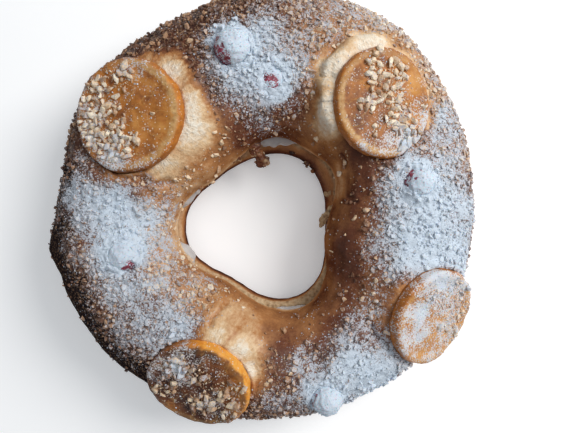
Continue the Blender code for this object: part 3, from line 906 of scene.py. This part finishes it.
def cream_filling(material):
    """The layer of whipped cream between the halves, with its edge in soft folds."""
    piece = fine_copy("cream_layer", "cream_filling", CREAM_GRAIN, 5)
    mesh = piece.data
    points, normals = mesh_points(mesh), mesh_normals(mesh)
    wall = 1.0 - ease(np.abs(normals[:, 2]), 0.6, 0.95)
    directions, _ = directions_of(points)
    folds = 0.0006 * np.sin(np.radians(directions) * 34 + 5.0 * grain(points, 0.02, 15))
    push_out(mesh, wall * (folds + 0.0012 * grain(points, 0.009, 16)))
    points = mesh_points(mesh)
    directions, distances = directions_of(points)
    drawn_back = np.maximum(0.0455 - distances, 0.0) * np.exp(-(turned(directions + 9.0) / 14.0) ** 4)
    place_points(mesh, points * (1.0 + drawn_back / distances)[:, None] ** (1.0, 1.0, 0.0))
    mesh.materials.append(material)
    return dress(piece, "cream", "cream_layer")


def sugar_heaps(bread, material):
    """Icing sugar heaped against the cherries and spread out over the bread."""
    surface = BVHTree.FromObject(bread, bpy.context.evaluated_depsgraph_get())
    near = KDTree(len(bread.data.vertices))
    for vertex in bread.data.vertices:
        near.insert(vertex.co, vertex.index)
    near.balance()
    copied = {name: np.array([item.value for item in bread.data.attributes[name].data])
              for name in ("bake", "sugar", "almonds", "grit", "toast", "drift")}
    around, outward = 96, 20
    corners, faces, spreads = [], [], []
    for number in range(1, 6):
        low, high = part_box(f"cherry_{number}")
        middle, radius, half = (low + high) / 2, (high.x - low.x) / 2, (high.z - low.z) / 2
        hug, reach, free, spread = CHERRY_HEAP[number]
        first = len(corners)
        for turn in range(around):
            direction = 360.0 * turn / around
            ahead = Vector((math.cos(math.radians(direction)), math.sin(math.radians(direction)), 0.0))
            uneven = noise.noise(ahead * 1.7 + Vector((number * 7.3, 0.0, 0.0)))
            covered = 1.0 - math.exp(-(turned(direction - free) / spread) ** 4) if spread else 1.0
            start = between(1.03, hug * (1.0 + 0.10 * uneven), covered) * radius
            end = between(1.10, reach * (1.0 + 0.25 * uneven), covered) * radius
            ball = middle.z - CHERRY_SUNK[number] + half * math.sqrt(max(0.0, 1.0 - (start / radius) ** 2))

            def bread_height(distance):
                place = middle + ahead * distance
                place.z = high.z + 0.05
                hit = surface.ray_cast(place, Vector((0.0, 0.0, -1.0)))[0]
                return hit.z if hit else middle.z - half

            foot, crown = bread_height(end), between(bread_height(1.05 * radius) - 0.0012, ball + 0.0002, covered)
            rings = [(0.97 * start, crown - 0.0030, 0.0)]
            for step in range(outward + 1):
                share = step / outward
                distance = between(start, end, share)
                height = between(crown, foot, float(ease(share, -0.15, 1.0)) if share else 0.0)
                rings.append((distance, height - 0.0008 * share ** 3 - (0.0010 if step == 0 else 0.0), share))
            rings.append((0.98 * end, foot - 0.0040, 1.0))
            for distance, height, share in rings:
                corners.append((middle.x + ahead.x * distance, middle.y + ahead.y * distance, height))
                spreads.append(between(1.0, share, covered))
        count = outward + 3
        for turn in range(around):
            here, there = first + turn * count, first + (turn + 1) % around * count
            faces += [(here + k, here + (k + 1) % count, there + (k + 1) % count, there + k) for k in range(count)]
    mesh = bpy.data.meshes.new("sugar_heaps")
    mesh.from_pydata(corners, [], faces)
    mesh.polygons.foreach_set("use_smooth", [True] * len(faces))
    points = mesh_points(mesh)
    rough = 0.0009 * grain(points, 0.0052, 31) + 0.0009 * grain(points, 0.0021, 32)
    place_points(mesh, points + np.outer(rough, (0.0, 0.0, 1.0)))
    nearest = [near.find(corner)[1] for corner in corners]
    spreads = ease(np.array(spreads) + 0.6 * grain(points, 0.006, 33), 0.30, 0.95)
    for name, fresh in (("sugar", 0.88), ("bake", 0.6), ("almonds", 0.45), ("grit", 0.0), ("toast", 0.2),
                        ("drift", 0.9)):
        store(mesh, name, between(fresh, copied[name][nearest], spreads))
    for name in ("crumb", "pale"):
        store(mesh, name, np.zeros(len(points)))
    mesh.materials.append(material)
    return dress(show(bpy.data.objects.new("sugar_heaps", mesh)), "crust")


def torn_scraps(material):
    """The flaps and crumbs that were torn loose where the ring was cut open."""
    chance = np.random.default_rng(RANDOM_SEED)
    whole = bmesh.new()
    for x, y, z, width, thickness, _ in TORN_FLAP + CRUMB_FLAP + LOOSE_CRUMBS:
        lump = bmesh.ops.create_icosphere(whole, subdivisions=3, radius=1.0)["verts"]
        tilt = chance.uniform(-0.35, 0.35, 2)
        for vertex in lump:
            a, b, c = vertex.co * Vector((width, width, thickness))
            vertex.co = Vector((x + a, y + b, z + c + a * tilt[0] + b * tilt[1]))
    mesh = bpy.data.meshes.new("torn_scraps")
    whole.to_mesh(mesh)
    whole.free()
    piece = show(bpy.data.objects.new("torn_scraps", mesh))
    even = piece.modifiers.new("Even faces", "REMESH")
    even.mode = "VOXEL"
    even.voxel_size = SCRAP_GRAIN
    even.use_smooth_shade = True
    mesh = finished_mesh(piece)
    relax(mesh, 2)
    points = mesh_points(mesh)
    push_out(mesh, 0.0009 * grain(points, 0.0030, 26) + 0.0007 * grain(points, 0.0013, 27))
    scraps = np.array(TORN_FLAP + CRUMB_FLAP + LOOSE_CRUMBS)
    nearest = np.argmin(np.linalg.norm(points[:, None, :] - scraps[None, :, :3], axis=2), axis=1)
    crumb = scraps[nearest, 5] + 0.7 * grain(points, 0.0025, 28)
    store(mesh, "crumb", ease(crumb, 0.35, 0.95))
    store(mesh, "bake", 0.78 + 0.3 * grain(points, 0.006, 29))
    for name in ("sugar", "pale"):
        store(mesh, name, np.zeros(len(points)))
    store(mesh, "toast", np.full(len(points), 0.65))
    store(mesh, "almonds", 0.5 * (scraps[nearest, 1] > 0.026))
    store(mesh, "drift", np.zeros(len(points)))
    mesh.materials.append(material)
    return dress(piece, "crust")


# ---------------------------------------------------------------- candied fruit

# Sugar on each slice, where almonds lie on it and where its flesh is paler, as (direction from its
# middle, share of the way out, reach as a share of its radius, amount).
SLICE_SUGAR = {
    "orange_slice_1": ((-110, 0.82, 0.40, 0.32), (-150, 0.85, 0.35, 0.20), (80, 0.90, 0.36, 0.22), (175, 0.75, 0.75, 0.12),
                       (-70, 0.96, 0.30, 0.20)),
    "orange_slice_2": ((-60, 0.85, 0.46, 0.34), (-20, 0.95, 0.34, 0.24), (-110, 0.85, 0.30, 0.18)),
    "orange_slice_3": ((125, 0.58, 0.34, 0.36), (150, 0.85, 0.35, 0.22), (-80, 0.45, 0.45, 0.12),
                       (70, 0.60, 0.30, 0.14), (100, 0.95, 0.30, 0.20)),
    "orange_slice_4": ((165, 0.48, 0.30, 0.36), (95, 0.75, 0.50, 0.30), (50, 0.90, 0.36, 0.22),
                       (-150, 0.60, 0.36, 0.22), (0, 0.30, 0.60, 0.14), (-70, 0.70, 0.40, 0.08),
                       (105, 1.02, 0.34, 0.34)),
}
SLICE_ALMONDS = {
    "orange_slice_1": ((138, 0.74, 0.28, 1.0), (94, 0.68, 0.24, 1.0), (176, 0.76, 0.34, 1.0), (-150, 0.58, 0.42, 1.0),
                       (-112, 0.46, 0.40, 1.0), (-166, 0.90, 0.28, 1.0), (150, 0.28, 0.20, 0.7), (20, 0.36, 0.50, 0.26)),
    "orange_slice_2": ((72, 0.26, 0.40, 1.0), (112, 0.52, 0.26, 1.0), (62, 0.60, 0.24, 1.0), (0, 0.26, 0.30, 1.0),
                       (-48, 0.42, 0.32, 1.0), (190, 0.36, 0.17, 1.0), (-50, 0.78, 0.28, 0.9), (0, 0.92, 0.24, 0.6),
                       (100, 0.95, 0.18, 0.5), (-110, 0.55, 0.14, 0.6)),
    "orange_slice_3": ((-20, 0.50, 0.36, 1.0), (-80, 0.40, 0.36, 0.9), (130, 0.50, 0.42, 0.8), (-52, 0.80, 0.26, 0.8),
                       (178, 0.66, 0.26, 0.8), (80, 0.32, 0.30, 0.8), (5, 0.78, 0.20, 0.7)),
    "orange_slice_4": ((0, 0.50, 0.46, 0.8), (60, 0.60, 0.46, 0.85), (-30, 0.72, 0.36, 0.8), (120, 0.55, 0.36, 0.6)),
}
SLICE_GLOW = {
    "orange_slice_1": ((-10, 0.62, 0.45, 0.16), (70, 0.80, 0.30, 0.14)),
    "orange_slice_2": ((38, 0.76, 0.44, 0.34), (140, 0.75, 0.30, 0.14), (-30, 0.90, 0.35, 0.25)),
    "orange_slice_3": ((-140, 0.94, 0.22, 0.45), (5, 0.72, 0.34, 0.36), (40, 0.85, 0.30, 0.34), (-30, 0.85, 0.26, 0.28)),
    "orange_slice_4": ((-30, 0.70, 0.50, 0.25), (-90, 0.80, 0.30, 0.20)),
}

# Each slice's even dust of sugar, how light its flesh is, how brown the almonds on it are and how many
# of them are large.
SLICE_LOOKS = {
    "orange_slice_1": (0.30, 0.42, 0.00, 1.00),
    "orange_slice_2": (0.36, 0.34, 0.00, 1.00),
    "orange_slice_3": (0.31, 0.07, 0.38, 0.60),
    "orange_slice_4": (0.44, 0.54, 0.10, 0.22),
}

# How bright the rind is, as (direction from the slice's middle, amount). This is partly the rind's own colour and
# partly painted light: on slice 3 it is brightest on the side that faces the window.
SLICE_RIND_AND_LIGHT = {
    "orange_slice_1": ((-90, 0.20), (-30, 0.45), (30, 0.55), (75, 0.35), (130, 0.15), (220, 0.10)),
    "orange_slice_2": ((-60, 0.40), (60, 0.30), (120, 0.35), (180, 0.40), (250, 0.45)),
    "orange_slice_3": ((-70, 0.30), (-35, 0.85), (25, 1.00), (75, 0.90), (100, 0.45), (130, 0.10), (210, 0.10), (235, 0.45)),
    "orange_slice_4": ((-90, 0.55), (0, 0.60), (90, 0.35), (180, 0.38)),
}

# The pale pith inside the rind, as (direction from the slice's middle, amount).
SLICE_PITH = {
    "orange_slice_1": ((-110, 0.1), (-60, 0.7), (0, 1.0), (45, 0.9), (85, 0.4), (120, 0.0), (220, 0.0)),
    "orange_slice_2": ((-60, 0.4), (0, 0.1), (60, 0.3), (110, 0.4), (150, 0.7), (240, 0.9), (275, 0.8)),
    "orange_slice_3": ((0, 0.2), (60, 0.1), (200, 0.0), (230, 0.3)),
    "orange_slice_4": ((-60, 0.5), (0, 0.4), (150, 0.3)),
}


def scattered_over(directions, shares, listed):
    """The strongest of several soft spots on a slice."""
    x, y = shares * np.cos(np.radians(directions)), shares * np.sin(np.radians(directions))
    value = np.zeros(len(shares))
    for direction, share, reach, amount in listed:
        cx, cy = share * math.cos(math.radians(direction)), share * math.sin(math.radians(direction))
        value = np.maximum(value, amount * np.exp(-(np.hypot(x - cx, y - cy) / reach) ** 2))
    return value


def orange_slice(node, disc, material):
    """A candied orange slice, with its segments sunk a little below the rind."""
    piece = fine_copy(node, node.replace("orange_slice", "candied_orange"), SLICE_GRAIN, 6)
    mesh = piece.data
    points, normals = mesh_points(mesh), mesh_normals(mesh)
    directions, shares, heights = disc.read(points)
    upper = ease(normals @ disc.up, 0.55, 0.9)
    sunk = (1.0 - ease(shares, 0.72, 0.92)) * upper
    push_out(mesh, 0.0007 * grain(points, 0.008, 21) + 0.0003 * grain(points, 0.0025, 22) - 0.0007 * sunk)
    facing = ease(normals[:, 2], 0.0, 0.5)
    dust, light, toast, large = SLICE_LOOKS[node]
    sugar = (scattered_over(directions, shares, SLICE_SUGAR[node]) + dust + 0.16 * grain(points, 0.006, 23)) * facing
    almonds = scattered_over(directions, shares, SLICE_ALMONDS[node]) * upper * (1.0 - ease(shares, 0.90, 0.98))
    for name, values in (("glow", light + scattered_over(directions, shares, SLICE_GLOW[node])),
                         ("pith", round_ring(directions, SLICE_PITH[node]) * upper),
                         ("rind", round_ring(directions, SLICE_RIND_AND_LIGHT[node])),
                         ("toast", toast + 0.0 * shares)):
        store(mesh, name, values)
    store(mesh, "radial", shares)
    store(mesh, "turn", directions / 360.0 + 0.5)
    store(mesh, "sugar", np.clip(sugar, 0.0, 1.0))
    almonds = ease(almonds * (1.0 + 0.5 * grain(points, 0.009, 24)), 0.15, 0.70)
    store(mesh, "almonds", almonds)
    store(mesh, "large", almonds * large)
    store(mesh, "drift", ease(sugar, 0.20, 0.90) * upper)
    mesh.materials.append(material)
    return dress(piece, "candied_orange", node)


def cherry(number, material):
    """A candied cherry with sugar on its top and one bare side."""
    node = f"cherry_{number}"
    piece = fine_copy(node, f"candied_cherry_{number}", CHERRY_GRAIN, 6)
    mesh = piece.data
    points, normals = mesh_points(mesh), mesh_normals(mesh)
    direction, height, bare = BARE_CHERRY[number]
    level = math.cos(math.radians(height))
    side = normals @ np.array((level * math.cos(math.radians(direction)), level * math.sin(math.radians(direction)),
                               math.sin(math.radians(height))))
    sugar = 1.0 - ease(side + 0.30 * grain(points, 0.003, 50 + number), 0.75 - bare, 1.15 - bare)
    push_out(mesh, 0.0006 * grain(points, 0.006, 30 + number) + 0.0002 * grain(points, 0.002, 40 + number)
             + sugar * (0.0003 + 0.0005 * grain(points, 0.0030, 60 + number) + 0.0002 * grain(points, 0.0012, 70 + number)))
    store(mesh, "sugar", np.clip(0.42 + 0.52 * sugar, 0.0, 1.0))
    store(mesh, "drift", 0.9 * ease(sugar, 0.2, 0.9) * ease(normals[:, 2], 0.0, 0.5))
    place_points(mesh, mesh_points(mesh) - (0.0, 0.0, CHERRY_SUNK[number]))
    mesh.materials.append(material)
    return dress(piece, "candied_cherry", node)


# ---------------------------------------------------------------- what is sprinkled on

def chip_shape(name, chance, corners, flatness):
    """One small convex chip, about 1 long."""
    directions = chance.normal(size=(corners, 3))
    directions /= np.linalg.norm(directions, axis=1)[:, None]
    points = directions * chance.uniform(0.40, 0.55, (corners, 1)) * flatness
    chip = bmesh.new()
    for point in points:
        chip.verts.new(point)
    hull = bmesh.ops.convex_hull(chip, input=chip.verts)
    bmesh.ops.delete(chip, geom=list({v for v in hull["geom_interior"] if isinstance(v, bmesh.types.BMVert)}),
                     context="VERTS")
    bmesh.ops.recalc_face_normals(chip, faces=chip.faces)
    mesh = bpy.data.meshes.new(name)
    chip.to_mesh(mesh)
    chip.free()
    return bpy.data.objects.new(name, mesh)


def chip_set(name, count, corners, flatness):
    """A collection of chips, no two alike."""
    chance = np.random.default_rng(RANDOM_SEED)
    chips = bpy.data.collections.new(name)
    for number in range(count):
        chips.objects.link(chip_shape(f"{name}_{number}", chance, corners, flatness))
    return chips


def sprinkle_tree():
    """Geometry nodes that sprinkle chips over a surface."""
    tree = bpy.data.node_groups.new("Sprinkle", "GeometryNodeTree")
    face = tree.interface
    face.new_socket("Geometry", in_out="OUTPUT", socket_type="NodeSocketGeometry")
    for name, kind in (("Geometry", "Geometry"), ("Chips", "Collection"), ("Thickness of cover", "String"),
                       ("Spacing", "Float"), ("Smallest", "Float"), ("Largest", "Float"), ("Sunk", "Float"),
                       ("Tumble", "Float"), ("Seed", "Int"), ("Material", "Material")):
        face.new_socket(name, in_out="INPUT", socket_type=f"NodeSocket{kind}")
    given = tree.nodes.new("NodeGroupInput").outputs

    def add(kind, **inputs):
        settings = {k: inputs.pop(k) for k in list(inputs) if k.islower()}
        node = tree.nodes.new(kind)
        for name, value in settings.items():
            setattr(node, name, value)
        for name, value in inputs.items():
            socket = node.inputs[name.replace("_", " ")]
            if isinstance(value, bpy.types.NodeSocket):
                tree.links.new(value, socket)
            else:
                socket.default_value = value
        return node

    def chance(kind, low, high, offset):
        """A random value for each chip."""
        node = tree.nodes.new("FunctionNodeRandomValue")
        node.data_type = kind
        first = {"FLOAT_VECTOR": 0, "FLOAT": 2}[kind]
        for socket, value in ((node.inputs[first], low), (node.inputs[first + 1], high)):
            if isinstance(value, bpy.types.NodeSocket):
                tree.links.new(value, socket)
            else:
                socket.default_value = value
        shifted = add("ShaderNodeMath", operation="ADD")
        tree.links.new(given["Seed"], shifted.inputs[0])
        shifted.inputs[1].default_value = offset
        tree.links.new(shifted.outputs[0], node.inputs["Seed"])
        return node.outputs[{"FLOAT_VECTOR": 0, "FLOAT": 1}[kind]]

    cover = add("GeometryNodeInputNamedAttribute", data_type="FLOAT", Name=given["Thickness of cover"])
    spread = add("GeometryNodeDistributePointsOnFaces", distribute_method="POISSON", Mesh=given["Geometry"],
                 Distance_Min=given["Spacing"], Density_Max=1.0e6, Density_Factor=cover.outputs["Attribute"],
                 Seed=given["Seed"])
    size = chance("FLOAT", given["Smallest"], given["Largest"], 1)
    depth = add("ShaderNodeMath", operation="MULTIPLY")
    tree.links.new(size, depth.inputs[0])
    tree.links.new(given["Sunk"], depth.inputs[1])
    inward = add("ShaderNodeVectorMath", operation="SCALE")
    tree.links.new(spread.outputs["Normal"], inward.inputs[0])
    tree.links.new(depth.outputs[0], inward.inputs["Scale"])
    settled = add("GeometryNodeSetPosition", Geometry=spread.outputs["Points"], Offset=inward.outputs[0])
    lean = add("ShaderNodeVectorMath", operation="SCALE")
    tree.links.new(chance("FLOAT_VECTOR", (-1.0, -1.0, 0.0), (1.0, 1.0, 0.0), 2), lean.inputs[0])
    tree.links.new(given["Tumble"], lean.inputs["Scale"])
    spin = add("ShaderNodeVectorMath", operation="ADD")
    tree.links.new(lean.outputs[0], spin.inputs[0])
    tree.links.new(chance("FLOAT_VECTOR", (0.0, 0.0, 0.0), (0.0, 0.0, 2.0 * math.pi), 3), spin.inputs[1])
    turn = add("FunctionNodeEulerToRotation", Euler=spin.outputs[0])
    turned_chip = add("FunctionNodeRotateRotation", rotation_space="LOCAL", Rotation=spread.outputs["Rotation"],
                      Rotate_By=turn.outputs["Rotation"])
    proportion = add("ShaderNodeVectorMath", operation="SCALE")
    tree.links.new(chance("FLOAT_VECTOR", (0.80, 0.80, 0.80), (1.25, 1.15, 1.15), 4), proportion.inputs[0])
    tree.links.new(size, proportion.inputs["Scale"])
    chips = add("GeometryNodeCollectionInfo", Collection=given["Chips"], Separate_Children=True, Reset_Children=True)
    placed = add("GeometryNodeInstanceOnPoints", Points=settled.outputs[0], Instance=chips.outputs[0],
                 Pick_Instance=True, Rotation=turned_chip.outputs["Rotation"], Scale=proportion.outputs[0])
    shaded = add("GeometryNodeStoreNamedAttribute", data_type="FLOAT", domain="INSTANCE",
                 Geometry=placed.outputs[0], Name="shade", Value=chance("FLOAT", 0.0, 1.0, 5))
    real = add("GeometryNodeRealizeInstances", Geometry=shaded.outputs[0])
    coloured = add("GeometryNodeSetMaterial", Geometry=real.outputs[0], Material=given["Material"])
    tree.links.new(coloured.outputs[0], tree.nodes.new("NodeGroupOutput").inputs[0])
    return tree


def sprinkle(tree, name, surfaces, chips, material, cover, spacing, sizes, sunk, tumble, seed):
    """One piece with everything of a kind that is sprinkled over the surfaces."""
    host = bmesh.new()
    for surface in surfaces:
        host.from_mesh(surface.data)
    mesh = bpy.data.meshes.new(name)
    host.to_mesh(mesh)
    host.free()
    piece = show(bpy.data.objects.new(name, mesh))
    modifier = piece.modifiers.new("Sprinkle", "NODES")
    modifier.node_group = tree
    chosen = {"Chips": chips, "Thickness of cover": cover, "Spacing": spacing, "Smallest": sizes[0],
              "Largest": sizes[1], "Sunk": sunk, "Tumble": tumble, "Seed": seed, "Material": material}
    for item in tree.interface.items_tree:
        if item.in_out == "INPUT" and item.name in chosen:
            modifier[item.identifier] = chosen[item.name]
    mesh = finished_mesh(piece)
    for name in ("bake", "crumb", "almonds", "grit", "drift", "radial", "turn", "pale", "fibre", "glow", "pith", "rind",
                 "large"):
        if name in mesh.attributes:
            mesh.attributes.remove(mesh.attributes[name])
    return piece


def toppings(bread, scraps, slices, cherries):
    """Chopped almonds, their crumbs and clumps of icing sugar."""
    tree = sprinkle_tree()
    almond, sugar = chopped_almond(), icing_sugar()
    coarse = chip_set("almond_chunk", 12, 13, np.array((1.0, 0.80, 0.64)))
    rounded = chip_set("almond_piece", 12, 18, np.array((1.05, 0.76, 0.64)))
    middling = chip_set("almond_chip", 10, 9, np.array((1.0, 0.78, 0.58)))
    fine = chip_set("almond_crumb", 6, 6, np.array((1.0, 0.85, 0.75)))
    grains = chip_set("sugar_grain", 6, 9, np.array((1.0, 0.95, 0.8)))
    pieces = [
        dress(sprinkle(tree, "almond_chunks", bread, coarse, almond, "almonds", ALMOND_SPACING,
                       (0.0028, 0.0052), 0.10, 0.6, RANDOM_SEED), "crust"),
        dress(sprinkle(tree, "almond_pieces_on_fruit", slices, rounded, almond, "large", FRUIT_ALMOND_SPACING,
                       (0.0036, 0.0066), 0.14, 0.8, RANDOM_SEED), "crust"),
        dress(sprinkle(tree, "almond_chips", bread + scraps + slices, middling, almond, "almonds", CHIP_SPACING,
                       (0.0016, 0.0032), 0.10, 0.9, RANDOM_SEED + 1), "crust"),
        dress(sprinkle(tree, "almond_crumbs", bread + scraps + slices, fine, almond, "almonds", CRUMB_SPACING,
                       (0.0009, 0.0018), 0.15, 1.5, RANDOM_SEED + 2), "crust"),
        dress(sprinkle(tree, "sugar_clumps", bread + slices + cherries, grains, sugar, "drift", CLUMP_SPACING,
                       (0.0006, 0.0015), 0.1, 1.5, RANDOM_SEED + 3), "crust"),
    ]
    for chips in (coarse, rounded, middling, fine, grains):
        for chip in list(chips.objects):
            bpy.data.objects.remove(chip)
        bpy.data.collections.remove(chips)
    return pieces


# ---------------------------------------------------------------- table, light and camera

def table():
    """A plain pale floor."""
    size = 2.0
    mesh = bpy.data.meshes.new("table")
    mesh.from_pydata([(-size, -size, 0), (size, -size, 0), (size, size, 0), (-size, size, 0)], [], [(0, 1, 2, 3)])
    mesh.materials.append(pale_table())
    floor = show(bpy.data.objects.new("table", mesh))
    floor.location.z = -0.0002


def soft_light(name, direction, height, distance, size, power, colour):
    """A large lamp that shines at the ring from a direction and a height in degrees."""
    lamp = bpy.data.lights.new(name, "AREA")
    lamp.shape = "DISK"
    lamp.size = size
    lamp.energy = power
    lamp.color = colour
    place = Vector((math.cos(math.radians(direction)) * math.cos(math.radians(height)),
                    math.sin(math.radians(direction)) * math.cos(math.radians(height)),
                    math.sin(math.radians(height)))) * distance
    holder = show(bpy.data.objects.new(name, lamp))
    holder.location = place
    holder.rotation_euler = (-place).to_track_quat("-Z", "Y").to_euler()


def studio():
    """Soft daylight from the right, and an even glow from all round."""
    soft_light("window", 26, 46, 1.3, 0.70, 12.5, (1.0, 0.985, 0.965))
    soft_light("ceiling", 40, 82, 1.5, 1.3, 6.0, (0.95, 0.97, 1.0))
    world = bpy.data.worlds.new("Room")
    world.use_nodes = True
    world.node_tree.nodes["Background"].inputs["Color"].default_value = (0.84, 0.92, 1.0, 1.0)
    world.node_tree.nodes["Background"].inputs["Strength"].default_value = 0.18
    bpy.context.scene.world = world
    bpy.context.scene.view_settings.view_transform = "Standard"
    bpy.context.scene.view_settings.look = "None"


def camera():
    """The camera, straight above the ring and looking down."""
    lens = bpy.data.cameras.new("camera")
    lens.sensor_width = CAMERA_SENSOR
    lens.lens = CAMERA_LENS
    lens.clip_start = 0.01
    holder = show(bpy.data.objects.new("camera", lens))
    holder.location = CAMERA_PLACE
    bpy.context.scene.camera = holder


def main():
    camera()
    studio()
    table()
    outline = Outline("bread_top")
    slices = [f"orange_slice_{number}" for number in range(1, 5)]
    discs = {node: Disc(node) for node in slices}
    crust = baked_crust()
    top = top_bread(outline, discs, crust)
    bottom_bread(crust)
    heaps = sugar_heaps(top, crust)
    scraps = torn_scraps(crust)
    cream_filling(whipped_cream())
    orange, red = candied_orange(), candied_cherry()
    dressed_slices = [orange_slice(node, discs[node], orange) for node in slices]
    cherries = [cherry(number, red) for number in range(1, 6)]
    toppings([top, heaps], [scraps], dressed_slices, cherries)


main()
